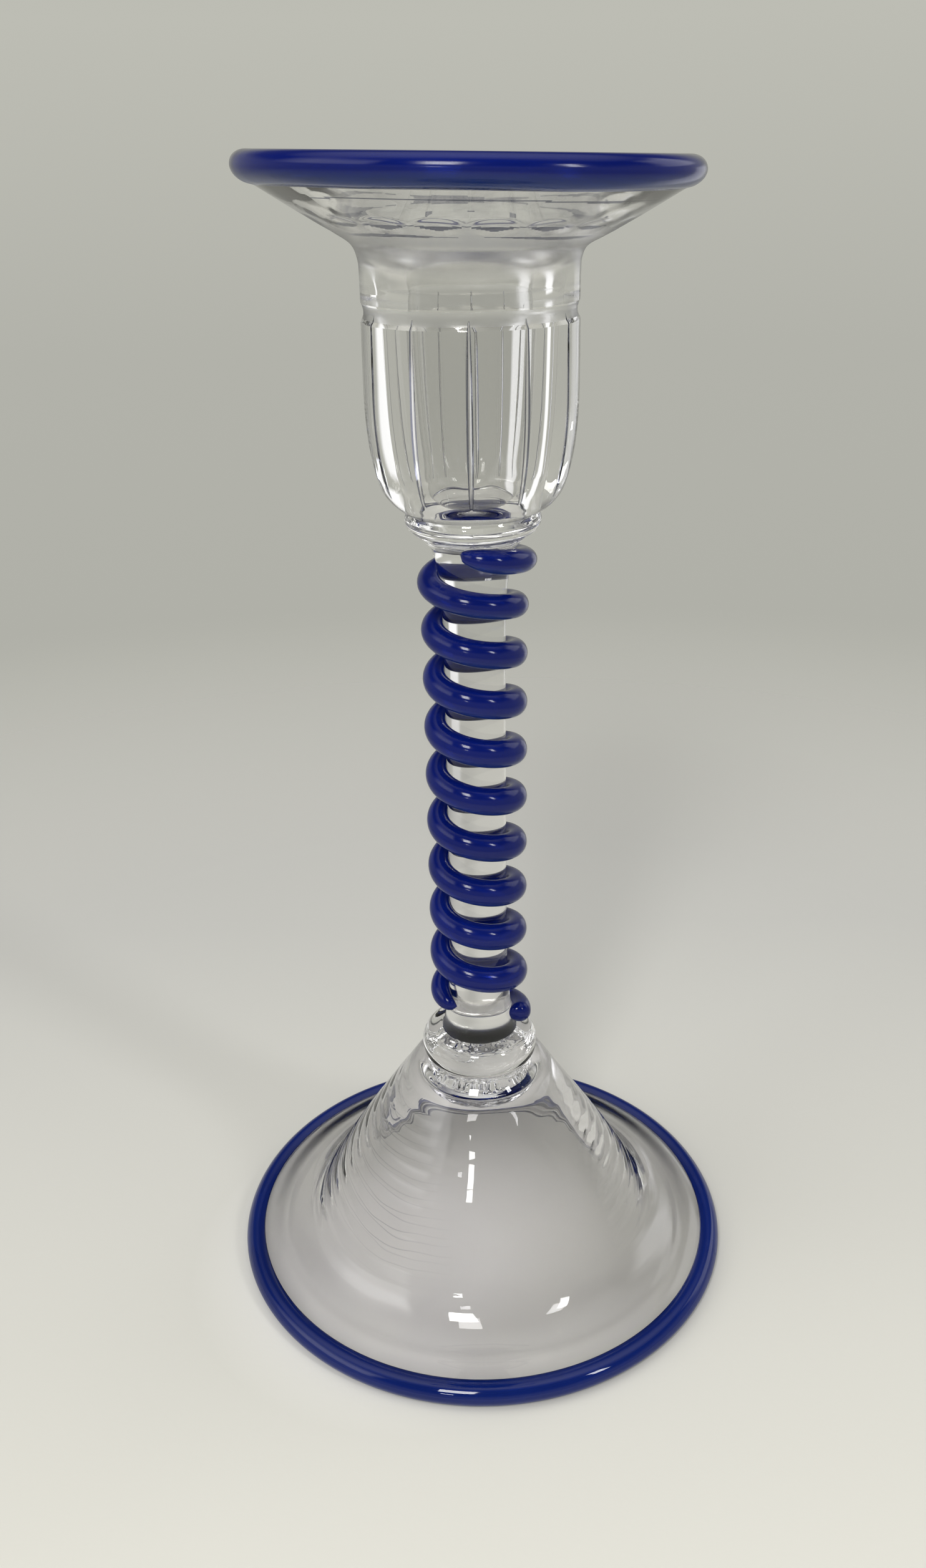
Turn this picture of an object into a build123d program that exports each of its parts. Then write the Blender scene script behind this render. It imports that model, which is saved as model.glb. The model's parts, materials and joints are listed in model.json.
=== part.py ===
"""Glass candlestick: clear hot-worked glass with cobalt wraps and a cobalt spiral thread.

Millimetres, +Z up, origin on the axis at the surface it stands on. Every gather of glass is its own
solid, and neighbours meet face to face where they were fused.
"""
import math
import os

from build123d import *

# --- driving dimensions -------------------------------------------------------------------------
HEIGHT = 254.0                  # ten inches, to the top of the rim wrap

# candle cup
CUP_R = 21.1                    # outside of the straight wall
CUP_BOTTOM_Z = 186.4
CUP_FOOT_R = 13.6               # where the cup sits on the upper merese
WALL_FROM_Z, WALL_TO_Z = 207.0, 231.5
WELL_R = 12.0                   # takes a 7/8 inch taper candle
WELL_FLOOR_Z = 193.5
WELL_CORNER_R = 6.0
WELL_TOP_Z = 229.0              # end of the straight well, start of its flare
FLANGE_R = 40.2                 # clear glass ends here, inside the rim wrap
RING_CUT_Z = 225.3
RING_CUT_DEPTH, RING_CUT_WIDTH = 0.45, 3.4
PANEL_CUTS = 12
PANEL_CUT_DEPTH, PANEL_CUT_WIDTH = 0.7, 1.8
SCALLOPS = 19
SCALLOP_R, SCALLOP_SPREAD, SCALLOP_Z = 6.0, 29.5, 236.95

# wraps: elliptical beads
RIM_BEAD_R, RIM_BEAD_HALF_WIDTH, RIM_BEAD_HALF_HEIGHT = 41.0, 2.7, 2.5
FOOT_BEAD_R, FOOT_BEAD_HALF_WIDTH, FOOT_BEAD_HALF_HEIGHT = 58.3, 2.2, 2.6
FOOT_BEAD_Z = 2.35              # a little less than the half height, so that the bead rests on a flat

# stem, mereses and thread
MERESE_R = 14.0
STEM_TOP_Z, STEM_BOTTOM_Z = 179.2, 61.2
STEM_R, STEM_END_R = 6.6, 9.0
STEM_STRAIGHT = (69.0, 171.5)   # the straight stretch, from and to
THREAD_PITCH = 11.23
THREAD_R = 8.8                  # radius of the helix, on the thread's centre line
THREAD_HALF_WIDTH, THREAD_HALF_HEIGHT = 2.5, 2.7
THREAD_BOTTOM_Z = 68.7
THREAD_TURNS = 9.95
THREAD_START_ANGLE = -115.0     # bottom end, from +X
DAB_Z, DAB_TURN, DAB_START_ANGLE = 65.6, 0.3, -28.0

# foot
COLLAR_R = 13.7
FOOT_TOP_Z, FOOT_TOP_R = 54.0, 12.9
FOOT_EDGE_R = 57.8
FOOT_WALL = 2.8
PONTIL_R, PONTIL_TOP_Z, PONTIL_DEPTH = 11.0, 48.0, 5.0

os.makedirs("parts", exist_ok=True)


# --- helpers ------------------------------------------------------------------------------------
def bead_ring(ring_r, z, half_width, half_height):
    """A closed ring of elliptical section round the axis."""
    with BuildPart() as ring:
        with BuildSketch(Plane.XZ):
            with Locations((ring_r, z)):
                Ellipse(half_width, half_height)
        revolve(axis=Axis.Z)
    return ring.part


def helical_bead(bottom_z, turns, start_angle, half_width, half_height):
    """A left-handed bead of elliptical section, with rounded ends, wound up from start_angle."""
    with BuildPart() as bead:
        with BuildLine() as path:
            Helix(THREAD_PITCH, turns * THREAD_PITCH, THREAD_R, center=(0, 0, bottom_z), lefthand=True)
        start = Plane(origin=path.line @ 0, x_dir=(1, 0, 0), z_dir=path.line % 0)
        with BuildSketch(start) as section:
            Ellipse(half_width, half_height)
        sweep(sections=section.sketch, path=path.line, is_frenet=True)
        end_faces = bead.faces().filter_by(GeomType.PLANE)
        fillet(end_faces.edges(), 0.6 * half_width)
    return bead.part.rotate(Axis.Z, start_angle)


# --- candle cup ---------------------------------------------------------------------------------
with BuildPart() as panel_cutter:
    # a V-shaped sliver that follows the wall and runs out of it at both ends
    run_out = PANEL_CUT_WIDTH
    with BuildLine(Plane.XZ) as cut_path:
        Spline(
            (CUP_R + 0.1, RING_CUT_Z + 1.0),
            (CUP_R, WALL_FROM_Z + 3.0),
            (CUP_R - 1.55, 195.4),
            (CUP_R - 3.7, 189.6),
        )
    with BuildSketch(Plane(origin=cut_path.line @ 0, x_dir=(1, 0, 0), z_dir=cut_path.line % 0)) as vee:
        with BuildLine():
            Polyline(
                (-PANEL_CUT_DEPTH, 0),
                (PANEL_CUT_DEPTH, PANEL_CUT_WIDTH),
                (PANEL_CUT_DEPTH, -PANEL_CUT_WIDTH),
                close=True,
            )
        make_face()
    sweep(sections=vee.sketch, path=cut_path.line)

with BuildPart() as candle_cup:
    with BuildSketch(Plane.XZ):
        with BuildLine():
            bowl = Spline(
                (CUP_FOOT_R, CUP_BOTTOM_Z),
                (17.2, 189.4),
                (19.7, 195.4),
                (CUP_R, WALL_FROM_Z),
                tangents=[(1, 0.5), (0, 1)],
            )
            wall = Line(bowl @ 1, (CUP_R, WALL_TO_Z))
            underside = Spline(
                wall @ 1,
                (22.6, 237.9),
                (29.2, 242.0),
                (FLANGE_R, 248.4),
                tangents=[(0, 1), (1, 0.5)],
            )
            lip = ThreePointArc(underside @ 1, (FLANGE_R + 1.4, 250.7), (FLANGE_R, 252.6))
            dish = Spline(
                lip @ 1,
                (30.0, 247.2),
                (20.0, 241.2),
                (13.6, 235.6),
                (WELL_R, WELL_TOP_Z),
                tangents=[(-1, -0.5), (0, -1)],
            )
            well = Line(dish @ 1, (WELL_R, WELL_FLOOR_Z + WELL_CORNER_R))
            corner = TangentArc(well @ 1, (WELL_R - WELL_CORNER_R, WELL_FLOOR_Z), tangent=(0, -1))
            Polyline(corner @ 1, (0, WELL_FLOOR_Z), (0, CUP_BOTTOM_Z), bowl @ 0)
        make_face()
    revolve(axis=Axis.Z)
    # cut ring round the wall
    with BuildSketch(Plane.XZ):
        with Locations((CUP_R, RING_CUT_Z)):
            Ellipse(RING_CUT_DEPTH, RING_CUT_WIDTH / 2)
    revolve(axis=Axis.Z, mode=Mode.SUBTRACT)
    with PolarLocations(0, PANEL_CUTS):
        add(panel_cutter.part, mode=Mode.SUBTRACT)
    # row of shallow thumb cuts round the underside of the flange
    with Locations((0, 0, SCALLOP_Z)):
        with PolarLocations(SCALLOP_SPREAD, SCALLOPS):
            Sphere(SCALLOP_R, mode=Mode.SUBTRACT)
candle_cup.part.label = "candle_cup"
export_step(candle_cup.part, "parts/candle_cup.step")

with BuildPart() as rim_wrap:
    add(bead_ring(RIM_BEAD_R, HEIGHT - RIM_BEAD_HALF_HEIGHT, RIM_BEAD_HALF_WIDTH, RIM_BEAD_HALF_HEIGHT))
    add(candle_cup.part, mode=Mode.SUBTRACT)
rim_wrap.part.label = "rim_wrap"
export_step(rim_wrap.part, "parts/rim_wrap.step")

# --- stem ---------------------------------------------------------------------------------------
with BuildPart() as upper_merese:
    with BuildSketch(Plane.XZ):
        with BuildLine():
            edge = Spline(
                (STEM_END_R, STEM_TOP_Z),
                (10.2, 180.4),
                (12.0, 182.2),
                (MERESE_R, 184.6),
                (CUP_FOOT_R, CUP_BOTTOM_Z),
                tangents=[(1, 0.6), (-0.7, 1)],
            )
            Polyline(edge @ 1, (0, CUP_BOTTOM_Z), (0, STEM_TOP_Z), edge @ 0)
        make_face()
    revolve(axis=Axis.Z)
upper_merese.part.label = "upper_merese"
export_step(upper_merese.part, "parts/upper_merese.step")

with BuildPart() as stem_rod:
    straight_from, straight_to = STEM_STRAIGHT
    with BuildSketch(Plane.XZ):
        with BuildLine():
            lower_flare = Spline(
                (STEM_END_R, STEM_BOTTOM_Z),
                (STEM_R, straight_from),
                tangents=[(-0.35, 1), (0, 1)],
            )
            side = Line(lower_flare @ 1, (STEM_R, straight_to))
            upper_flare = Spline(
                side @ 1,
                (STEM_END_R, STEM_TOP_Z),
                tangents=[(0, 1), (0.4, 1)],
            )
            Polyline(upper_flare @ 1, (0, STEM_TOP_Z), (0, STEM_BOTTOM_Z), lower_flare @ 0)
        make_face()
    revolve(axis=Axis.Z)
stem_rod.part.label = "stem_rod"
export_step(stem_rod.part, "parts/stem_rod.step")

with BuildPart() as stem_thread:
    add(
        helical_bead(
            THREAD_BOTTOM_Z,
            THREAD_TURNS,
            THREAD_START_ANGLE,
            THREAD_HALF_WIDTH,
            THREAD_HALF_HEIGHT,
        )
    )
    add(stem_rod.part, mode=Mode.SUBTRACT)
    add(upper_merese.part, mode=Mode.SUBTRACT)
stem_thread.part.label = "stem_thread"
export_step(stem_thread.part, "parts/stem_thread.step")

# --- foot ---------------------------------------------------------------------------------------
with BuildPart() as lower_merese:
    with BuildSketch(Plane.XZ):
        with BuildLine():
            edge = Spline(
                (FOOT_TOP_R, FOOT_TOP_Z),
                (COLLAR_R, 57.4),
                (STEM_END_R + 0.6, STEM_BOTTOM_Z),
                tangents=[(0.5, 1), (-1, 0.25)],
            )
            Polyline(edge @ 1, (0, STEM_BOTTOM_Z), (0, FOOT_TOP_Z), edge @ 0)
        make_face()
    revolve(axis=Axis.Z)
lower_merese.part.label = "lower_merese"
export_step(lower_merese.part, "parts/lower_merese.step")

with BuildPart() as thread_dab:
    add(
        helical_bead(
            DAB_Z - DAB_TURN * THREAD_PITCH,
            DAB_TURN,
            DAB_START_ANGLE + 360 * DAB_TURN,
            THREAD_HALF_WIDTH,
            THREAD_HALF_HEIGHT,
        )
    )
    add(stem_rod.part, mode=Mode.SUBTRACT)
    add(lower_merese.part, mode=Mode.SUBTRACT)
thread_dab.part.label = "thread_dab"
export_step(thread_dab.part, "parts/thread_dab.step")

with BuildPart() as foot:
    with BuildSketch(Plane.XZ):
        with BuildLine():
            outer = Spline(
                (FOOT_TOP_R, FOOT_TOP_Z),
                (18.0, 48.4),
                (25.0, 37.6),
                (36.0, 19.8),
                (43.5, 9.3),
                (FOOT_EDGE_R - 1.2, 4.1),
                tangents=[(1, -0.5), (1, -0.05)],
            )
            rounded_edge = ThreePointArc(
                outer @ 1,
                (FOOT_EDGE_R, 4.1 - FOOT_WALL / 2),
                (FOOT_EDGE_R - 1.2, 4.1 - FOOT_WALL),
            )
            inner = Spline(
                rounded_edge @ 1,
                (42.0, 6.2),
                (33.8, 18.2),
                (22.8, 36.0),
                (15.6, 46.2),
                (12.0, PONTIL_TOP_Z),
                tangents=[(-1, 0.05), (-1, 0)],
            )
            Polyline(inner @ 1, (0, PONTIL_TOP_Z), (0, FOOT_TOP_Z), outer @ 0)
        make_face()
    revolve(axis=Axis.Z)
foot.part.label = "foot"
export_step(foot.part, "parts/foot.step")

with BuildPart() as foot_wrap:
    add(bead_ring(FOOT_BEAD_R, FOOT_BEAD_Z, FOOT_BEAD_HALF_WIDTH, FOOT_BEAD_HALF_HEIGHT))
    add(foot.part, mode=Mode.SUBTRACT)
    split(bisect_by=Plane.XY, keep=Keep.TOP)
foot_wrap.part.label = "foot_wrap"
export_step(foot_wrap.part, "parts/foot_wrap.step")

with BuildPart() as pontil_mark:
    # shallow rough knob left where the foot was cracked off the pontil rod
    with BuildSketch(Plane.XZ):
        with BuildLine():
            knob = Spline(
                (PONTIL_R, PONTIL_TOP_Z),
                (PONTIL_R - 1.8, PONTIL_TOP_Z - 0.75 * PONTIL_DEPTH),
                (0, PONTIL_TOP_Z - PONTIL_DEPTH),
                tangents=[(-0.2, -1), (-1, 0)],
            )
            Polyline(knob @ 1, (0, PONTIL_TOP_Z), knob @ 0)
        make_face()
    revolve(axis=Axis.Z)
pontil_mark.part.label = "pontil_mark"
export_step(pontil_mark.part, "parts/pontil_mark.step")
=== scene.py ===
import json
import math

import bpy
import numpy as np
from mathutils import Matrix, Vector, noise


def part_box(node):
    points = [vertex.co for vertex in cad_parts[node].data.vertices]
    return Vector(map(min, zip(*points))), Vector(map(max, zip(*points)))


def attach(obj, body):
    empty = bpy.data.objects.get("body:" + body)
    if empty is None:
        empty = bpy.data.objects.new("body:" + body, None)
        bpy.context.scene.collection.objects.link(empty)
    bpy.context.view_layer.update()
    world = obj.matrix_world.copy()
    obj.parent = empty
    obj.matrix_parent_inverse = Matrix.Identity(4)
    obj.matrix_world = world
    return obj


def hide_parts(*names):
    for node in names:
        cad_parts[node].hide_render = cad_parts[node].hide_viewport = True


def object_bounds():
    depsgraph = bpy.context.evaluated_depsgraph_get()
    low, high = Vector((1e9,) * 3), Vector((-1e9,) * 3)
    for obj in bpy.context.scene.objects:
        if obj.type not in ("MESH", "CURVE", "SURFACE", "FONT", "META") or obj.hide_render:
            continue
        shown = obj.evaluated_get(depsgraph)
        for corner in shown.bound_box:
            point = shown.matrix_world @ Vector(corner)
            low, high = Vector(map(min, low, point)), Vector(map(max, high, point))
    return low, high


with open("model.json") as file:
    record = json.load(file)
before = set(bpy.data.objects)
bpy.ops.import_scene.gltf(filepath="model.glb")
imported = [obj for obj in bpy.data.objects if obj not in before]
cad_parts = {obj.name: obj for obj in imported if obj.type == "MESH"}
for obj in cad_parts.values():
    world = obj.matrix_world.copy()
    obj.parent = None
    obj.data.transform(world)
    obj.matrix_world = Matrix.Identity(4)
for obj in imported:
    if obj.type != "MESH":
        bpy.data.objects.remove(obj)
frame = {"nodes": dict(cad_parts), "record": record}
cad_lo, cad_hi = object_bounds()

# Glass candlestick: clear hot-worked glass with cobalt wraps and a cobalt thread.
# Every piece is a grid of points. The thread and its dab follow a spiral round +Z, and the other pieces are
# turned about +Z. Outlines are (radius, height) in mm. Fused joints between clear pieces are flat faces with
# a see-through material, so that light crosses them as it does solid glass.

MM = 0.001
TAU = 2 * math.pi
BITE = 0.03                      # mm by which cobalt and clear glass overlap where they are fused

# ------------------------------------------------------------------ sizes, in mm, from the CAD model
box = {name: [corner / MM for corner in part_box(name)[:2]] for name in frame["nodes"]}
TOP = cad_hi.z / MM
RIM_R = box["rim_wrap"][1].x
FOOT_R = box["foot_wrap"][1].x
CUP_BOTTOM = box["candle_cup"][0].z
MERESE_BOTTOM = box["upper_merese"][0].z
MERESE_R = box["upper_merese"][1].x
STEM_BOTTOM = box["stem_rod"][0].z
COLLAR_BOTTOM = box["lower_merese"][0].z
COLLAR_R = box["lower_merese"][1].x
PONTIL_TOP = box["pontil_mark"][1].z
PONTIL_R = box["pontil_mark"][1].x
FOOT_EDGE = box["foot"][1].x
well_mount = next(m for m in frame["record"]["mounts"] if m["name"] == "candle_socket")
WELL_R = well_mount["dims"]["r_mm"]
CUP_R = 21.1
STEM_R = 6.6
FLANGE_LEAN = math.radians(1.5)

# the wheel-cut work on the cup
FIRST_CUT = math.radians(-91.5)  # bearing of one upright cut, from which all the cuts are counted
PANELS = 12                      # upright cuts round the cup
PANEL_CUT_DEPTH = 0.45
PANEL_CUT_BOTTOM = 189.9
RING_CUT_Z, RING_CUT_HALF_WIDTH, RING_CUT_DEPTH = 225.3, 1.75, 0.55
SCALLOPS = 19                    # thumb cuts round the underside of the flange
SCALLOP_R, SCALLOP_HALF_ACROSS, SCALLOP_HALF_OUT, SCALLOP_DEPTH = 29.6, 4.7, 2.6, 0.32

# places in a piece's list of materials; most pieces have only the first two
PLAIN, JOINT, GROUND, SHADED_EDGE, WELL = range(5)


# ------------------------------------------------------------------ curves
def smooth(points, steps):
    """A Catmull-Rom curve through points, with steps rows between neighbours."""
    p = np.array(points, float)
    p = np.vstack([2 * p[0] - p[1], p, 2 * p[-1] - p[-2]])
    rows = []
    for a, b, c, d in zip(p[:-3], p[1:-2], p[2:-1], p[3:]):
        for k in range(steps):
            t = k / steps
            curve = (2 * a - 5 * b + 4 * c - d) * t**2 + (3 * b - a - 3 * c + d) * t**3
            rows.append(0.5 * (2 * b + (c - a) * t + curve))
    rows.append(p[-2])
    return np.array(rows)


def line(start, end, steps):
    return np.linspace(start, end, steps + 1)


def join(*runs):
    """One outline out of several, without repeating the point where two meet."""
    rows = [runs[0]]
    for run in runs[1:]:
        same = np.hypot(*(run[0] - rows[-1][-1])) < 1e-6
        rows.append(run[1:] if same else run)
    return np.vstack(rows)


def tilted(x, z):
    """The flange leans a little to +X: heights above the cup's wall drop across it, x and z in mm."""
    return z - (x + RIM_R) * math.tan(FLANGE_LEAN) * ramp(z, 233.0, 241.0)


def ramp(x, a, b):
    """0 before a, 1 after b, smooth between."""
    t = np.clip((x - a) / (b - a), 0, 1)
    return t * t * (3 - 2 * t)


# ------------------------------------------------------------------ meshes
def grid_mesh(name, points, closed=False, see_through=(), sharp=35, finish=None):
    """A piece from points[row][column], closed round the columns.

    An open piece is closed at both ends by a fan to the middle of its end row. see_through names the
    ends, "first" or "last", whose fan is a fused joint. finish gives the place of every point's material.
    """
    rows, cols = points.shape[:2]
    verts = points.reshape(-1, 3).tolist()
    faces = []
    marks = []
    for r in range(rows if closed else rows - 1):
        s = (r + 1) % rows
        for c in range(cols):
            d = (c + 1) % cols
            faces.append((r * cols + c, r * cols + d, s * cols + d, s * cols + c))
            marks.append(PLAIN if finish is None else min(int(finish[r, c]), int(finish[r, d])))
    if not closed:
        for end, row in (("first", 0), ("last", rows - 1)):
            hub = len(verts)
            verts.append(points[row].mean(0).tolist())
            for c in range(cols):
                d = (c + 1) % cols
                a, b = row * cols + c, row * cols + d
                faces.append((b, a, hub) if row == 0 else (a, b, hub))
                marks.append(JOINT if end in see_through else PLAIN)
    mesh = bpy.data.meshes.new(name)
    mesh.from_pydata(verts, [], faces)
    v = np.array(verts)
    tri = [(f[0], f[k], f[k + 1]) for f in faces for k in range(1, len(f) - 1)]
    a, b, c = (v[[t[k] for t in tri]] for k in range(3))
    if np.einsum("ij,ij->i", a, np.cross(b, c)).sum() < 0:
        mesh.flip_normals()
    mesh.polygons.foreach_set("use_smooth", [True] * len(faces))
    mesh.polygons.foreach_set("material_index", marks)
    mesh.set_sharp_from_angle(angle=math.radians(sharp))
    mesh.update()
    return mesh


def add_piece(name, mesh, node, materials):
    piece = bpy.data.objects.new(name, mesh)
    bpy.context.collection.objects.link(piece)
    for material in materials:
        mesh.materials.append(material)
    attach(piece, "root")
    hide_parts(node)
    return piece


def turn(outline, columns, shift=None):
    """Turns an outline of (radius, height) rows about Z. shift(r, z, angle) moves each point."""
    angle = np.linspace(0, TAU, columns, endpoint=False)[None, :] + 0 * outline[:, :1]
    r = outline[:, :1] + 0 * angle
    z = outline[:, 1:] + 0 * angle
    return to_points(r, z, angle, shift)


def to_points(r, z, angle, shift=None):
    if shift:
        r, z = shift(r, z, angle)
    return np.stack([r * np.cos(angle), r * np.sin(angle), z], 2) * MM


# ------------------------------------------------------------------ materials
def new_material(name):
    material = bpy.data.materials.new(name)
    material.use_nodes = True
    nodes, links = material.node_tree.nodes, material.node_tree.links
    return material, nodes, links, nodes["Principled BSDF"]


def object_noise(nodes, links, scale, detail, stretch=(1, 1, 1)):
    place = nodes.new("ShaderNodeTexCoord")
    mapping = nodes.new("ShaderNodeMapping")
    mapping.inputs["Scale"].default_value = stretch
    pattern = nodes.new("ShaderNodeTexNoise")
    pattern.inputs["Scale"].default_value = scale
    pattern.inputs["Detail"].default_value = detail
    links.new(place.outputs["Object"], mapping.inputs["Vector"])
    links.new(mapping.outputs["Vector"], pattern.inputs["Vector"])
    return pattern


def map_value(nodes, links, source, low, high, out_low, out_high):
    change = nodes.new("ShaderNodeMapRange")
    for socket, value in zip(("From Min", "From Max", "To Min", "To Max"), (low, high, out_low, out_high)):
        change.inputs[socket].default_value = value
    links.new(source, change.inputs["Value"])
    return change.outputs["Result"]


def glass(name, tint_a, tint_b, rough, wave, wave_scale, stretch=(1, 1, 1),
          painted_edge_shade=(0.50, 0.50, 0.53), edge_from=0.78, hazy=None):
    """Glass whose tint drifts between two colours and darkens with painted shade where it is seen edge-on,
    with faint smears.

    rough is the roughness outside and inside the smears. hazy gives four heights in metres: the glass is
    slightly matt between the middle two, and clear below the first and above the last.
    """
    material, nodes, links, shader = new_material(name)
    shader.inputs["Transmission Weight"].default_value = 1.0
    shader.inputs["IOR"].default_value = 1.5
    drift = object_noise(nodes, links, 25.0, 2.0)
    tint = nodes.new("ShaderNodeMix")
    tint.data_type = "RGBA"
    tint.inputs["A"].default_value = (*tint_a, 1)
    tint.inputs["B"].default_value = (*tint_b, 1)
    links.new(drift.outputs["Fac"], tint.inputs["Factor"])
    # painted shade: the base colour is darkened where the surface is seen edge-on, in place of the dark
    # reflections and refractions at glass edges
    view = nodes.new("ShaderNodeLayerWeight")
    edge = nodes.new("ShaderNodeMix")
    edge.data_type = "RGBA"
    edge.inputs["B"].default_value = (*painted_edge_shade, 1)
    links.new(tint.outputs["Result"], edge.inputs["A"])
    links.new(map_value(nodes, links, view.outputs["Facing"], edge_from, 0.97, 0, 1), edge.inputs["Factor"])
    links.new(edge.outputs["Result"], shader.inputs["Base Color"])
    smears = object_noise(nodes, links, 60.0, 5.0, stretch)
    roughness = map_value(nodes, links, smears.outputs["Fac"], 0.55, 0.8, rough[0], rough[1])
    if hazy:
        place = nodes.new("ShaderNodeTexCoord")
        split = nodes.new("ShaderNodeSeparateXYZ")
        links.new(place.outputs["Object"], split.inputs["Vector"])
        rise = map_value(nodes, links, split.outputs["Z"], hazy[0], hazy[1], 0, 0.25)
        fall = map_value(nodes, links, split.outputs["Z"], hazy[2], hazy[3], 1, 0)
        haze = nodes.new("ShaderNodeMath")
        haze.operation = "MULTIPLY_ADD"
        for socket, source in zip(haze.inputs, (rise, fall, roughness)):
            links.new(source, socket)
        roughness = haze.outputs["Value"]
    links.new(roughness, shader.inputs["Roughness"])
    waves = object_noise(nodes, links, wave_scale, 2.0, stretch)
    bump = nodes.new("ShaderNodeBump")
    bump.inputs["Strength"].default_value = wave
    bump.inputs["Distance"].default_value = 0.0004
    links.new(waves.outputs["Fac"], bump.inputs["Height"])
    links.new(bump.outputs["Normal"], shader.inputs["Normal"])
    return material


def painted_tool_line_shade(material):
    """Painted shade: thin dark arcs where the tool rode on the left flank of the spinning bell, in place of
    the dark lines its ripples show through refraction.
    """
    nodes, links = material.node_tree.nodes, material.node_tree.links
    shader = nodes["Principled BSDF"]

    def maths(operation, *values):
        node = nodes.new("ShaderNodeMath")
        node.operation = operation
        for socket, value in zip(node.inputs, values):
            if isinstance(value, (int, float)):
                socket.default_value = value
            else:
                links.new(value, socket)
        return node.outputs["Value"]

    place = nodes.new("ShaderNodeTexCoord")
    split = nodes.new("ShaderNodeSeparateXYZ")
    links.new(place.outputs["Object"], split.inputs["Vector"])
    x, y, z = (split.outputs[axis] for axis in "XYZ")
    bearing = maths("ARCTAN2", y, x)
    drift = object_noise(nodes, links, 35.0, 2.0)
    sway = maths("MULTIPLY", maths("SINE", maths("MULTIPLY", bearing, 2.0)), 1.1)
    phase = maths("ADD", maths("MULTIPLY", z, 950.0), sway)
    phase = maths("ADD", phase, maths("MULTIPLY", drift.outputs["Fac"], 5.0))
    thin = map_value(nodes, links, maths("ABSOLUTE", maths("SINE", phase)), 0.16, 0.0, 0, 1)
    flank = map_value(nodes, links, x, -0.006, -0.020, 0, 1)
    flank = maths("MULTIPLY", flank, map_value(nodes, links, z, 0.012, 0.020, 0, 1))
    flank = maths("MULTIPLY", flank, map_value(nodes, links, z, 0.047, 0.040, 0, 1))
    flank = maths("MULTIPLY", flank, map_value(nodes, links, drift.outputs["Fac"], 0.35, 0.6, 0.2, 1))
    # painted shade mixed into the base colour along the arcs
    shade = nodes.new("ShaderNodeMix")
    shade.data_type = "RGBA"
    shade.inputs["B"].default_value = (0.30, 0.30, 0.34, 1)
    links.new(shader.inputs["Base Color"].links[0].from_socket, shade.inputs["A"])
    links.new(maths("MULTIPLY", maths("MULTIPLY", thin, flank), 0.75), shade.inputs["Factor"])
    links.new(shade.outputs["Result"], shader.inputs["Base Color"])


def fused_joint():
    """Lets light straight through, as no surface lies there in fused glass."""
    material = bpy.data.materials.new("fused_joint")
    material.use_nodes = True
    nodes, links = material.node_tree.nodes, material.node_tree.links
    nodes.remove(nodes["Principled BSDF"])
    clear = nodes.new("ShaderNodeBsdfTransparent")
    links.new(clear.outputs["BSDF"], nodes["Material Output"].inputs["Surface"])
    return material


def cobalt(name, dark, light, rough, specular):
    """Deep blue glass, half transparent and half opaque, with painted light: lighter on the faces that look
    down, as if lit from the pale floor below.
    """
    material = glass(name, dark, light, rough, 0.15, 120.0, painted_edge_shade=(0.004, 0.005, 0.03))
    nodes, links = material.node_tree.nodes, material.node_tree.links
    shader = nodes["Principled BSDF"]
    place = nodes.new("ShaderNodeTexCoord")
    split = nodes.new("ShaderNodeSeparateXYZ")
    links.new(place.outputs["Normal"], split.inputs["Vector"])
    # painted light: faces that look down get a lighter blue, in place of light from the floor shining up
    # through the glass
    lit = nodes.new("ShaderNodeMix")
    lit.data_type = "RGBA"
    lit.inputs["B"].default_value = (0.03, 0.065, 0.26, 1)
    links.new(shader.inputs["Base Color"].links[0].from_socket, lit.inputs["A"])
    links.new(map_value(nodes, links, split.outputs["Z"], -0.25, -0.85, 0, 1), lit.inputs["Factor"])
    links.new(lit.outputs["Result"], shader.inputs["Base Color"])
    shader.inputs["Transmission Weight"].default_value = 0.5
    shader.inputs["Specular IOR Level"].default_value = specular
    return material


CLEAR_TINTS = (0.90, 0.90, 0.90), (0.97, 0.965, 0.945)
# painted shade: the glass of the well is darker than the rest of the clear glass, in place of the grey the
# well shows when seen through the cup
WELL_SHADE_TINTS = (0.78, 0.78, 0.775), (0.84, 0.84, 0.835)
FIRE_POLISH = {"rough": (0.0, 0.01), "wave": 0.012, "wave_scale": 90.0, "stretch": (1, 1, 0.4)}
# painted shade: a near-black edge colour for the cup where it is seen edge-on
CUP_EDGE_SHADE = {"painted_edge_shade": (0.06, 0.06, 0.08), "edge_from": 0.68}
NECK_HAZE = (0.2305, 0.2335, 0.2400, 0.2430)
STEM_FOOT_HAZE = (0.0590, 0.0605, 0.0635, 0.0665)

clear_glass = glass("clear_glass", *CLEAR_TINTS, **FIRE_POLISH)
cup_glass = glass("cup_glass", *CLEAR_TINTS, **FIRE_POLISH, **CUP_EDGE_SHADE, hazy=NECK_HAZE)
well_shaded_glass = glass("well_shaded_glass", *WELL_SHADE_TINTS, **FIRE_POLISH, **CUP_EDGE_SHADE, hazy=NECK_HAZE)
stem_glass = glass("stem_glass", *CLEAR_TINTS, **FIRE_POLISH, hazy=STEM_FOOT_HAZE)
# the ground cuts: rough glass whose near-black edge colour is painted shade, drawing dark lines along the
# cuts where they turn edge-on
cut_glass = glass("cut_glass", (0.90, 0.90, 0.91), (0.97, 0.97, 0.97), (0.28, 0.38), 0.1, 900.0,
                  painted_edge_shade=(0.03, 0.03, 0.04), edge_from=0.40)
# painted shade: a near-black glass for dark lines at the cuts and under the flange, where clear glass looks
# dark by refraction and reflection
painted_shade_glass = glass("painted_shade_glass", (0.04, 0.045, 0.08), (0.10, 0.105, 0.15), (0.05, 0.10), 0.02, 90.0)
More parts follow.
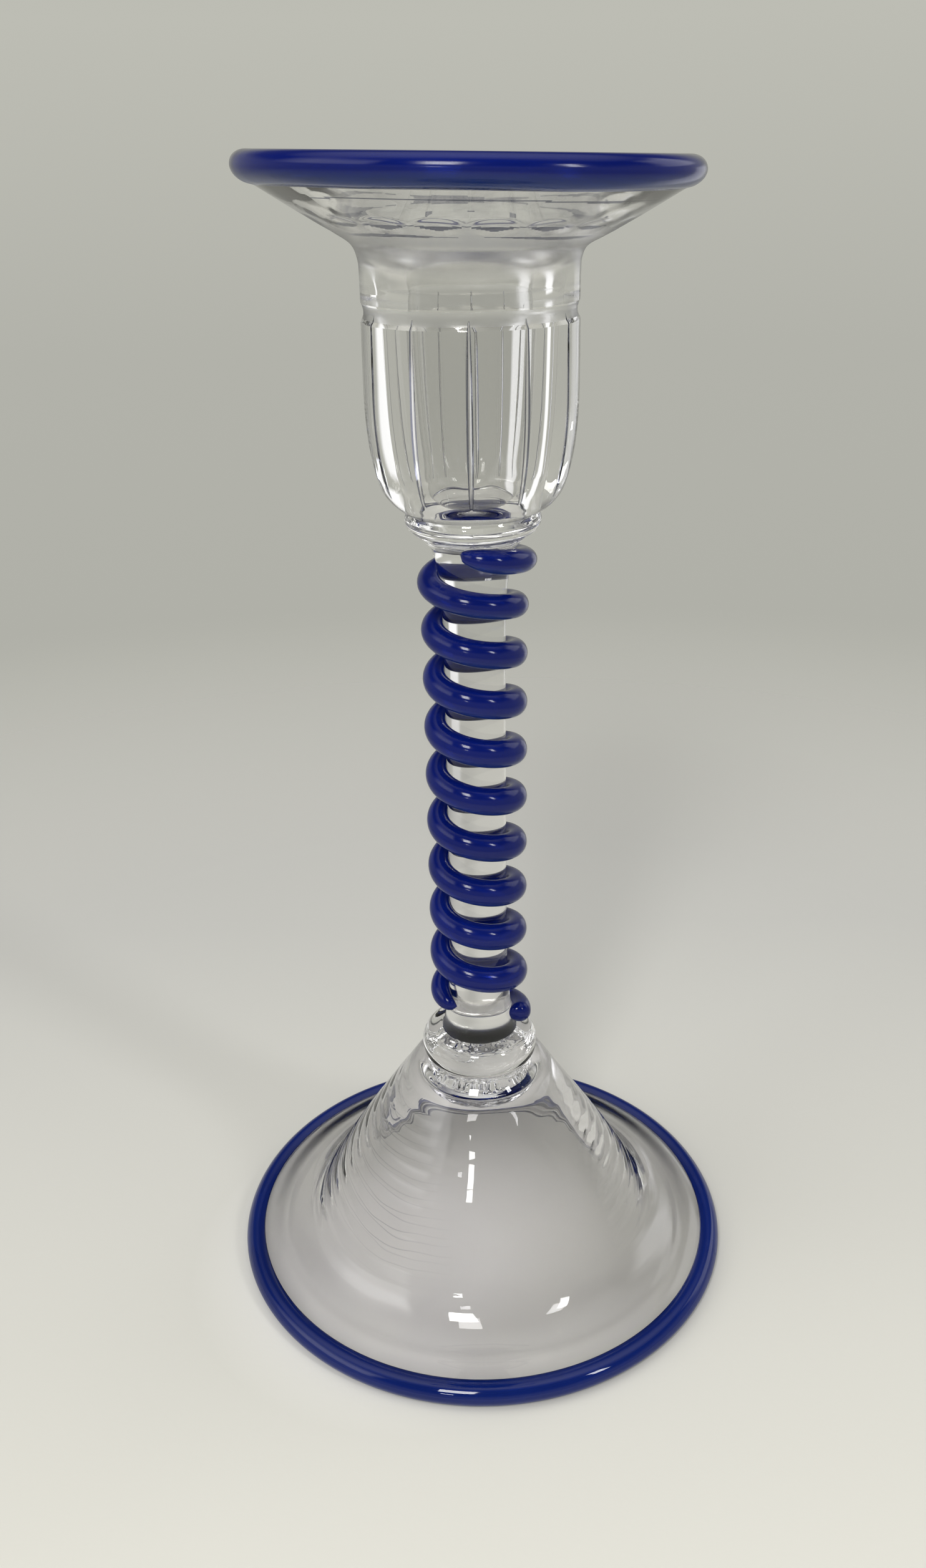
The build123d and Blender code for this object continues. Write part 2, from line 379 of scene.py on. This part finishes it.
# the foot's grey edge colour is painted shade where the bell is seen edge-on
foot_glass = glass("foot_glass", (0.93, 0.92, 0.955), (1.0, 0.995, 0.98), (0.0, 0.02), 0.25, 60.0,
                   painted_edge_shade=(0.16, 0.16, 0.19), edge_from=0.60)
cobalt_glass = cobalt("cobalt_glass", (0.004, 0.017, 0.16), (0.009, 0.036, 0.32), (0.03, 0.10), 0.25)
cobalt_trail = cobalt("cobalt_trail", (0.002, 0.008, 0.13), (0.005, 0.022, 0.32), (0.12, 0.24), 0.05)
painted_tool_line_shade(foot_glass)
rough_glass = glass("rough_glass", (0.80, 0.80, 0.82), (0.98, 0.98, 0.98), (0.05, 0.30), 0.4, 500.0)
joint = fused_joint()


# ------------------------------------------------------------------ candle cup
def build_cup():
    bowl = smooth([(13.6, CUP_BOTTOM), (15.4, 187.6), (17.2, 189.3), (18.6, 191.6), (19.7, 195.2),
                   (20.6, 200.5), (CUP_R, 207.0), (CUP_R + 0.05, 215.0), (CUP_R, 222.0)], 8)
    wall = line((CUP_R, 222.0), (CUP_R, 231.5), 26)
    underside = smooth([(CUP_R, 231.5), (21.25, 234.6), (22.4, 237.7), (25.4, 239.9), (29.2, 242.0),
                        (34.6, 245.1), (40.2, 248.4)], 17)
    lip = smooth([(40.2, 248.4), (41.2, 249.5), (41.5, 250.7), (41.2, 251.9), (40.2, 252.6)], 3)
    well_top = 229.0
    dish = smooth([(40.2, 252.6), (35.6, 250.2), (30.0, 247.2), (24.4, 243.9), (20.0, 241.0),
                   (15.8, 237.6), (12.9, 233.6), (WELL_R, well_top)], 14)
    well = smooth([(WELL_R, well_top), (WELL_R - 0.15, 220.0), (WELL_R - 0.5, 210.0),
                   (WELL_R - 1.0, 203.0), (WELL_R - 1.9, 195.5)], 8)
    corner = smooth([(WELL_R - 1.9, 195.5), (WELL_R - 2.9, 192.2), (WELL_R - 4.2, 190.6), (5.5, 190.05),
                     (2.0, 190.0)], 8)
    outline = join(bowl, wall, underside, lip, dish, well, corner)
    outside = np.arange(len(outline)) < len(join(bowl, wall, underside))
    out = outside[:, None]
    sector = TAU / PANELS
    r = outline[:, :1]
    z = outline[:, 1:]
    # columns of one sector: across its cut from edge to edge, then between that cut and the next
    across = np.linspace(-1, 1, 9)
    between = np.linspace(0, 1, 12)[1:-1]
    # half the width of an upright cut: narrow at the ring cut and near the base, and where there is no cut,
    # what spaces the columns evenly
    run = np.clip((z - PANEL_CUT_BOTTOM) / (RING_CUT_Z - PANEL_CUT_BOTTOM), 0, 1)
    swell = np.clip(np.sin(math.pi * np.clip(run * 0.97 + 0.03, 0, 1) ** 0.75), 0, 1)
    half = 0.10 + 0.50 * np.sqrt(swell)
    even = r * sector * (len(across) - 1) / 2 / (len(across) + len(between))
    half = np.where(out, half + (even - half) * ramp(z, RING_CUT_Z + 0.5, RING_CUT_Z + 5), even)
    fade_in = ramp(z, PANEL_CUT_BOTTOM, PANEL_CUT_BOTTOM + 7)
    depth_share = np.where(out, fade_in * (1 - ramp(z, RING_CUT_Z - 1.5, RING_CUT_Z)), 0)
    # cut runs from 0 in the middle of an upright cut to almost 1 at its edges, and is 1 between the cuts
    angles, cut = [], []
    for k in range(PANELS):
        middle = k * sector + FIRST_CUT
        edge = half / r
        for s in across:
            angles.append(middle + s * edge)
            cut.append(0.999 * np.abs(s) + 0 * r)
        for s in between:
            angles.append(middle + edge + s * (sector - 2 * edge))
            cut.append(1 + 0 * r)
    angle = np.hstack(angles)
    cut = np.hstack(cut)
    r = r + 0 * angle
    z = z + 0 * angle
    r = r - depth_share * PANEL_CUT_DEPTH * (1 - cut)
    # ring cut: a shallow hollow round the wall
    ring = np.clip(1 - ((z - RING_CUT_Z) / RING_CUT_HALF_WIDTH) ** 2, 0, None)
    r = r - np.where(out, RING_CUT_DEPTH * ring, 0)
    upright = out & (depth_share > 0.05)
    ground = (upright & (cut < 0.99)) | (out & (ring > 0.35))
    # painted shade: the borders of the upright cuts get the near-black glass too
    border = upright & (cut > 0.45) & (cut < 1) & (r < CUP_R + 1)
    # slightly flat panels between the cuts
    flatness = 0.12 * np.cos(PANELS * (angle - FIRST_CUT)) * ramp(z, 192, 200)
    r = r + np.where(out & (z < 224), flatness, 0)
    # thumb cuts under the flange
    turn_share = ((angle - FIRST_CUT) / (TAU / SCALLOPS)) % 1 - 0.5
    sideways = turn_share * TAU / SCALLOPS * r
    off_middle = (sideways / SCALLOP_HALF_ACROSS) ** 2 + ((r - SCALLOP_R) / SCALLOP_HALF_OUT) ** 2
    thumb_cut = np.clip(SCALLOP_DEPTH - SCALLOP_DEPTH * off_middle, 0, None)
    lift = np.where(out & (z > 236) & (r > 24), thumb_cut, 0)
    # the wall and floor of the well get the darker glass, painted shade
    inside_well = ~out & (r < WELL_R + 0.1) & (z < well_top + 0.5)
    # painted shade below: dark glass along the lower lip of each thumb cut, heavier towards the front, a
    # line near the rim, and a broken one near the neck, in place of the dark lines that refraction and
    # reflection draw there
    under = out & (z > 238)
    bow = np.clip(1 - (sideways / 4.9) ** 2, 0, 1)
    wander = 0.25 * np.sin(3 * angle + 0.5) + 0.12 * np.sin(8 * angle)
    heavy = 0.65 - 0.35 * np.sin(angle)
    dark = under & (np.abs(r - 29.9 + 1.2 * bow) < (0.15 + 0.50 * bow) * heavy ** 2)
    dark |= under & (np.abs(r - 37.0 - wander) < 0.20)
    dark |= under & (np.abs(r - 26.3 - wander) < 0.30 + 0.25 * np.sin(5 * angle))
    z = z + lift * 0.85
    r = r - lift * 0.5
    z = tilted(r * np.cos(angle), z)
    finish = np.where(dark | border, SHADED_EDGE, np.where(ground, GROUND, np.where(inside_well, WELL, PLAIN)))
    return grid_mesh("candle_cup", to_points(r, z, angle), see_through=("first",), sharp=22, finish=finish)


add_piece("cup_of_clear_glass", build_cup(), "candle_cup",
          [cup_glass, joint, cut_glass, painted_shade_glass, well_shaded_glass])


# ------------------------------------------------------------------ wraps
def build_rim_wrap():
    outer = smooth([(39.7, 248.3), (41.6, 248.85), (43.1, 250.0), (RIM_R, 251.5), (43.15, 253.0),
                    (41.7, TOP - 0.1), (40.0, 253.85), (38.3, 252.0), (37.9, 251.55)], 7)
    inner = smooth([(38.2, 251.65), (40.2, 252.6 - BITE), (41.2 - BITE, 251.9 - BITE),
                    (41.5 - BITE, 250.7), (41.2 - BITE, 249.5), (40.2, 248.4 + BITE)], 5)
    outline = join(outer, inner)

    def shift(r, z, angle):
        sag = 0.12 * np.sin(angle * 3 + 1.0) + 0.08 * np.sin(angle * 7)
        low = ramp(TOP - z, 0.5, 5.0)
        return r, tilted(r * np.cos(angle), z + low * sag)

    return grid_mesh("rim_wrap", turn(outline, 320, shift), closed=True)


def build_foot_wrap():
    outer = smooth([(55.7, 4.3), (57.2, 4.9), (58.7, 4.85), (59.9, 3.9), (FOOT_R, 2.5), (60.1, 1.1),
                    (59.2, 0.12), (58.2, 0.0), (57.2, 0.1), (56.2, 0.75), (55.9, 1.25)], 5)
    fused = FOOT_EDGE - BITE
    inner = smooth([(55.95, 1.3 + BITE), (56.6, 1.3 + BITE), (fused - 0.4, 1.75), (fused, 2.7),
                    (fused - 0.4, 3.65), (56.6, 4.1 - BITE), (56.0, 4.15 - BITE)], 4)
    outline = join(outer, inner)
    return grid_mesh("foot_wrap", turn(outline, 400), closed=True)


add_piece("rim_wrap_of_cobalt_glass", build_rim_wrap(), "rim_wrap", [cobalt_trail])
add_piece("foot_wrap_of_cobalt_glass", build_foot_wrap(), "foot_wrap", [cobalt_glass])


# ------------------------------------------------------------------ stem and mereses
def build_upper_merese():
    outline = smooth([(9.0, MERESE_BOTTOM), (10.1, 180.3), (10.5, 181.0), (12.0, 181.9), (13.5, 183.2),
                      (MERESE_R, 184.6), (13.9, 185.7), (13.6, CUP_BOTTOM)], 6)
    return grid_mesh("upper_merese", turn(outline, 192), see_through=("first", "last"))


def stem_radius(z):
    """The stem flares into the collar below it and the wafer above it."""
    low = 2.3 * np.exp(-(z - STEM_BOTTOM) / 7.0)
    high = 2.4 * np.exp(-(MERESE_BOTTOM - z) / 5.5)
    return STEM_R + low + high


def build_stem():
    z = np.linspace(STEM_BOTTOM, MERESE_BOTTOM, 240)
    outline = np.stack([stem_radius(z), z], 1)
    return grid_mesh("stem_rod", turn(outline, 192), see_through=("first", "last"))


def build_lower_merese():
    outline = smooth([(12.9, COLLAR_BOTTOM), (13.5, 55.2), (COLLAR_R, 57.3), (13.2, 59.2), (11.9, 60.6),
                      (9.0, STEM_BOTTOM)], 7)
    return grid_mesh("lower_merese", turn(outline, 192), see_through=("first", "last"))


add_piece("upper_merese_of_clear_glass", build_upper_merese(), "upper_merese",
          [clear_glass, joint])
add_piece("stem_of_clear_glass", build_stem(), "stem_rod", [stem_glass, joint])
add_piece("lower_merese_of_clear_glass", build_lower_merese(), "lower_merese",
          [clear_glass, joint])


# ------------------------------------------------------------------ thread
THREAD_FIRST = 176.0             # height of its centre where it first passes +X
THREAD_PITCH = 11.4
THREAD_PROUD = 0.86              # share of its thickness that stands out of the stem


def thread_height(turns):
    """Height of the thread's centre after so many turns down from +X; the first turns lie closer."""
    return THREAD_FIRST - THREAD_PITCH * turns + 2.9 * (1 - np.exp(-np.maximum(turns, 0) / 1.1))


def build_bead(name, first_turn, last_turn, half_out, half_up, tip_first, tip_last, per_turn=72, around=28):
    """A thread of rounded section laid on the stem, thinning over tip_first and tip_last turns."""
    steps = max(12, int((last_turn - first_turn) * per_turn))
    turns = np.linspace(first_turn, last_turn, steps + 1)
    ends = []
    for share, tip in (((turns - first_turn), tip_first), ((last_turn - turns), tip_last)):
        x = np.clip(share / tip, 0, 1)
        ends.append(np.sqrt(1 - (1 - x) ** 2))
    size = np.maximum(ends[0] * ends[1], 0.02)
    section = np.linspace(0, TAU, around, endpoint=False)
    rows = []
    for t, k in zip(turns, size):
        z = thread_height(t)
        out = half_out(t) * k
        up = half_up(t) * k
        middle = stem_radius(z) + 2 * half_out(t) * THREAD_PROUD * k - out
        rho = middle + out * np.cos(section)
        height = z + up * np.sin(section)
        rho = np.maximum(rho, stem_radius(height) - BITE)
        angle = TAU * t
        rows.append(np.stack([rho * np.cos(angle), rho * np.sin(angle), height], 1))
    return grid_mesh(name, np.array(rows) * MM, sharp=60)


def thread_out(t):
    """Half the thread's thickness away from the stem, t turns down: fuller where it starts."""
    return 2.72 + 0.35 * math.exp(-abs(t) / 0.2)


def thread_up(t):
    """Half its height up the stem."""
    return 2.6 + 0.55 * float(ramp(t, 0.2, 3.0))


add_piece("thread_of_cobalt_glass", build_bead("stem_thread", -0.3, 9.62, thread_out, thread_up, 0.14, 0.2),
          "stem_thread", [cobalt_trail])
add_piece("dab_of_cobalt_glass",
          build_bead("thread_dab", 9.93, 10.22, lambda t: 2.6, lambda t: 2.7, 0.05, 0.1, per_turn=200),
          "thread_dab", [cobalt_trail])


# ------------------------------------------------------------------ foot
def near_bearing(angle, degrees, spread):
    """1 at a bearing, falling off to either side over about spread radians."""
    off = (angle - math.radians(degrees) + math.pi) % TAU - math.pi
    return np.exp(-(off / spread) ** 2)


def build_foot():
    outer = smooth([(12.9, COLLAR_BOTTOM), (15.2, 52.4), (18.0, 48.5), (25.0, 37.6), (31.0, 28.2),
                    (36.0, 19.9), (40.0, 13.5), (44.0, 9.0), (49.0, 6.4), (53.0, 6.1),
                    (FOOT_EDGE - 1.2, 4.1)], 17)
    edge = smooth([(FOOT_EDGE - 1.2, 4.1), (FOOT_EDGE - 0.35, 3.65), (FOOT_EDGE, 2.7),
                   (FOOT_EDGE - 0.35, 1.75), (FOOT_EDGE - 1.2, 1.3)], 3)
    inner = smooth([(FOOT_EDGE - 1.2, 1.3), (50.0, 2.6), (45.0, 4.6), (41.0, 7.6), (37.4, 12.4),
                    (33.4, 18.8), (28.4, 27.0), (22.6, 36.2), (18.0, 43.0), (15.4, 46.4), (13.2, 47.8),
                    (PONTIL_R, PONTIL_TOP)], 9)
    outline = join(outer, edge, inner)
    columns = 256
    rim = len(join(outer, edge))

    def shift(r, z, angle):
        # marks of the tool: fine rings on the left and the right of the bell, and a soft unevenness
        on_bell = ramp(r, 15, 22) * (1 - ramp(r, 44, 52))
        tooled = near_bearing(angle, 200, 0.75) + 0.7 * near_bearing(angle, -15, 0.45)
        rings = np.sqrt(np.abs(np.sin(z * 0.95 + 1.1 * np.sin(angle * 2)))) * 0.32 * tooled * on_bell
        soft = (0.22 * np.sin(angle * 5 + z * 0.06) + 0.16 * np.sin(angle * 9 - z * 0.1)) * on_bell
        side = np.ones_like(r)
        side[rim:] = -1.0
        return r + rings * (side > 0) + soft * side * 0.5, z

    return grid_mesh("foot", turn(outline, columns, shift), see_through=("first", "last"))


def build_pontil():
    outline = smooth([(PONTIL_R, PONTIL_TOP), (10.2, 45.6), (8.6, 44.2), (6.0, 43.6), (3.0, 43.3),
                      (1.0, 43.1)], 8)

    def shift(r, z, angle):
        rough = np.zeros_like(r)
        for index, value in np.ndenumerate(r):
            a = angle[index]
            p = Vector((value * math.cos(a), value * math.sin(a), z[index])) * 0.55
            rough[index] = noise.fractal(p, 0.7, 2.2, 4)
        below = ramp(PONTIL_TOP - z, 0.0, 2.0)
        return r + 0.2 * rough * below, z + 0.6 * rough * below

    return grid_mesh("pontil_mark", turn(outline, 96, shift), see_through=("first",))


add_piece("foot_of_clear_glass", build_foot(), "foot", [foot_glass, joint])
add_piece("pontil_mark_of_rough_glass", build_pontil(), "pontil_mark", [rough_glass, joint])


# ------------------------------------------------------------------ stage, lights and camera
def linear(r, g, b):
    return tuple(((c / 255 + 0.055) / 1.055) ** 2.4 for c in (r, g, b))


def build_floor():
    """A pale disc, finer towards the middle, that fades into the surroundings far out."""
    reaches = 0.02 * 1.09 ** np.arange(54)
    angle = np.linspace(0, TAU, 128, endpoint=False)
    points = np.stack([np.outer(reaches, np.cos(angle)), np.outer(reaches, np.sin(angle)),
                       np.zeros((len(reaches), len(angle)))], 2)
    rows, cols = points.shape[:2]
    verts = [(0, 0, 0)] + points.reshape(-1, 3).tolist()
    faces = [(0, 1 + c, 1 + (c + 1) % cols) for c in range(cols)]
    for r in range(rows - 1):
        for c in range(cols):
            d = (c + 1) % cols
            near, far = 1 + r * cols, 1 + (r + 1) * cols
            faces.append((near + c, far + c, far + d, near + d))
    mesh = bpy.data.meshes.new("floor")
    mesh.from_pydata(verts, [], faces)
    floor = bpy.data.objects.new("floor", mesh)
    bpy.context.collection.objects.link(floor)
    material, nodes, links, shader = new_material("pale_paper")
    shader.inputs["Roughness"].default_value = 0.9
    shader.inputs["Specular IOR Level"].default_value = 0.1
    place = nodes.new("ShaderNodeTexCoord")
    reach = nodes.new("ShaderNodeVectorMath")
    reach.operation = "LENGTH"
    links.new(place.outputs["Object"], reach.inputs[0])
    split = nodes.new("ShaderNodeSeparateXYZ")
    links.new(place.outputs["Object"], split.inputs["Vector"])
    # painted light: the paper's colour is lighter and warmer towards the camera (-Y), a painted falloff of
    # the light across the floor
    shade = nodes.new("ShaderNodeMix")
    shade.data_type = "RGBA"
    shade.inputs["A"].default_value = (0.66, 0.655, 0.625, 1)
    shade.inputs["B"].default_value = (0.86, 0.845, 0.77, 1)
    links.new(map_value(nodes, links, split.outputs["Y"], 0.15, -0.20, 0, 1), shade.inputs["Factor"])
    # a soft lighter patch under the left half of the bell, in place of the light that real glass gathers
    pool = nodes.new("ShaderNodeVectorMath")
    pool.operation = "DISTANCE"
    links.new(place.outputs["Object"], pool.inputs[0])
    pool.inputs[1].default_value = (-0.018, -0.012, 0)
    lit = nodes.new("ShaderNodeMix")
    lit.data_type = "RGBA"
    lit.inputs["B"].default_value = (1.0, 0.985, 0.95, 1)
    links.new(map_value(nodes, links, pool.outputs["Value"], 0.055, 0.02, 0, 0.9), lit.inputs["Factor"])
    links.new(shade.outputs["Result"], lit.inputs["A"])
    links.new(lit.outputs["Result"], shader.inputs["Base Color"])
    grain = object_noise(nodes, links, 900.0, 3.0)
    bump = nodes.new("ShaderNodeBump")
    bump.inputs["Strength"].default_value = 0.05
    bump.inputs["Distance"].default_value = 0.0005
    links.new(grain.outputs["Fac"], bump.inputs["Height"])
    links.new(bump.outputs["Normal"], shader.inputs["Normal"])
    clear = nodes.new("ShaderNodeBsdfTransparent")
    mix = nodes.new("ShaderNodeMixShader")
    links.new(map_value(nodes, links, reach.outputs["Value"], 0.22, 0.5, 0, 1), mix.inputs["Fac"])
    links.new(shader.outputs["BSDF"], mix.inputs[1])
    links.new(clear.outputs["BSDF"], mix.inputs[2])
    links.new(mix.outputs["Shader"], nodes["Material Output"].inputs["Surface"])
    mesh.materials.append(material)


def build_world():
    """Pale around the object, a dark band above that, a bright ceiling, and a dim room high up in front."""
    world = bpy.data.worlds.new("studio")
    bpy.context.scene.world = world
    world.use_nodes = True
    nodes, links = world.node_tree.nodes, world.node_tree.links
    place = nodes.new("ShaderNodeTexCoord")
    split = nodes.new("ShaderNodeSeparateXYZ")
    links.new(place.outputs["Generated"], split.inputs["Vector"])
    height = map_value(nodes, links, split.outputs["Z"], -1, 1, 0, 1)
    up = nodes.new("ShaderNodeValToRGB")
    stops = ((0.24, (210, 209, 198)), (0.29, (198, 197, 188)), (0.35, (176, 176, 168)),
             (0.44, (178, 178, 170)), (0.54, (189, 189, 180)), (0.66, (175, 175, 168)),
             (0.74, (90, 90, 88)), (0.82, (70, 70, 70)), (0.90, (215, 215, 212)), (1.0, (285, 285, 281)))
    while len(up.color_ramp.elements) < len(stops):
        up.color_ramp.elements.new(0.5)
    for element, (position, shade) in zip(up.color_ramp.elements, stops):
        element.position = position
        element.color = (*linear(*shade), 1)
    links.new(height, up.inputs["Fac"])
    colour = up.outputs["Color"]
    bearing = nodes.new("ShaderNodeMath")
    bearing.operation = "ARCTAN2"
    links.new(split.outputs["X"], bearing.inputs[0])
    links.new(split.outputs["Y"], bearing.inputs[1])
    around = map_value(nodes, links, bearing.outputs["Value"], -math.pi, math.pi, -180, 180)

    def band(source, low, high, edges):
        """1 between the middle two of four edges, falling to 0 at the outer two."""
        shape = nodes.new("ShaderNodeValToRGB")
        while len(shape.color_ramp.elements) < 4:
            shape.color_ramp.elements.new(0.5)
        for element, edge, share in zip(shape.color_ramp.elements, edges, (0, 1, 1, 0)):
            element.position = (edge - low) / (high - low)
            element.color = (share, share, share, 1)
        links.new(map_value(nodes, links, source, low, high, 0, 1), shape.inputs["Fac"])
        return shape.outputs["Color"]

    def blend(share, shade):
        mix = nodes.new("ShaderNodeMix")
        mix.data_type = "RGBA"
        mix.clamp_factor = True
        mix.inputs["B"].default_value = (*shade, 1)
        links.new(colour, mix.inputs["A"])
        links.new(share, mix.inputs["Factor"])
        return mix.outputs["Result"]

    room = nodes.new("ShaderNodeMath")
    room.operation = "MULTIPLY"
    links.new(map_value(nodes, links, split.outputs["Y"], 0.0, -0.45, 0, 1), room.inputs[0])
    links.new(map_value(nodes, links, split.outputs["Z"], 0.24, 0.44, 0, 1), room.inputs[1])
    colour = blend(room.outputs["Value"], linear(80, 80, 80))
    # bearings from +Y towards +X in degrees, heights as the Z of a direction, and brightness
    card_behind_right = (23, 27, 42, 46), (-0.7, -0.6, 0.06, 0.12), 1.15
    window_on_left = (-134, -129, -95, -70), (0.26, 0.40, 0.60, 0.80), 2.1
    window_high_behind_right = (36, 44, 70, 80), (0.20, 0.26, 0.58, 0.66), 1.5
    for bearings, heights, level in (card_behind_right, window_on_left, window_high_behind_right):
        both = nodes.new("ShaderNodeMath")
        both.operation = "MULTIPLY"
        links.new(band(around, -180, 180, bearings), both.inputs[0])
        links.new(band(split.outputs["Z"], -1, 1, heights), both.inputs[1])
        colour = blend(both.outputs["Value"], (level, level, level))
    links.new(colour, nodes["Background"].inputs["Color"])
    nodes["Background"].inputs["Strength"].default_value = 1.0


def add_softbox(name, place, target, width, height, power, colour=(1, 1, 1)):
    data = bpy.data.lights.new(name, "AREA")
    data.shape = "RECTANGLE"
    data.size, data.size_y = width, height
    data.energy = power
    data.color = colour
    light = bpy.data.objects.new(name, data)
    light.location = place
    light.rotation_euler = (Vector(target) - Vector(place)).to_track_quat("-Z", "Y").to_euler()
    bpy.context.collection.objects.link(light)
    return light


def build_camera():
    """Level with the rim, close in front, looking down at the stem."""
    distance = 0.2779
    pitch, roll = math.radians(24.7), math.radians(1.0)
    data = bpy.data.cameras.new("camera")
    data.lens = 31.5
    data.sensor_width = 36.0
    data.clip_start = 0.01
    camera = bpy.data.objects.new("camera", data)
    bpy.context.collection.objects.link(camera)
    camera.matrix_world = (
        Matrix.Translation((-0.003, -distance, cad_hi.z - 0.0014))
        @ Matrix.Rotation(math.pi / 2 - pitch, 4, "X")
        @ Matrix.Rotation(-roll, 4, "Z")
    )
    bpy.context.scene.camera = camera


build_floor()
build_world()
add_softbox("window_left", (-0.16, -0.68, 0.75), (0, 0, 0.05), 0.22, 0.30, 4.0, (1.0, 0.99, 0.96))
add_softbox("lamp", (-0.18, -0.665, 0.33), (0, 0, 0.05), 0.07, 0.04, 0.15)
add_softbox("window_right", (0.60, -0.50, 0.62), (0, 0, 0.05), 0.10, 0.22, 1.3)
build_camera()

scene = bpy.context.scene
scene.view_settings.view_transform = "Standard"
scene.cycles.max_bounces = 24
scene.cycles.transmission_bounces = 24
scene.cycles.transparent_max_bounces = 24
scene.cycles.glossy_bounces = 8
scene.cycles.diffuse_bounces = 3
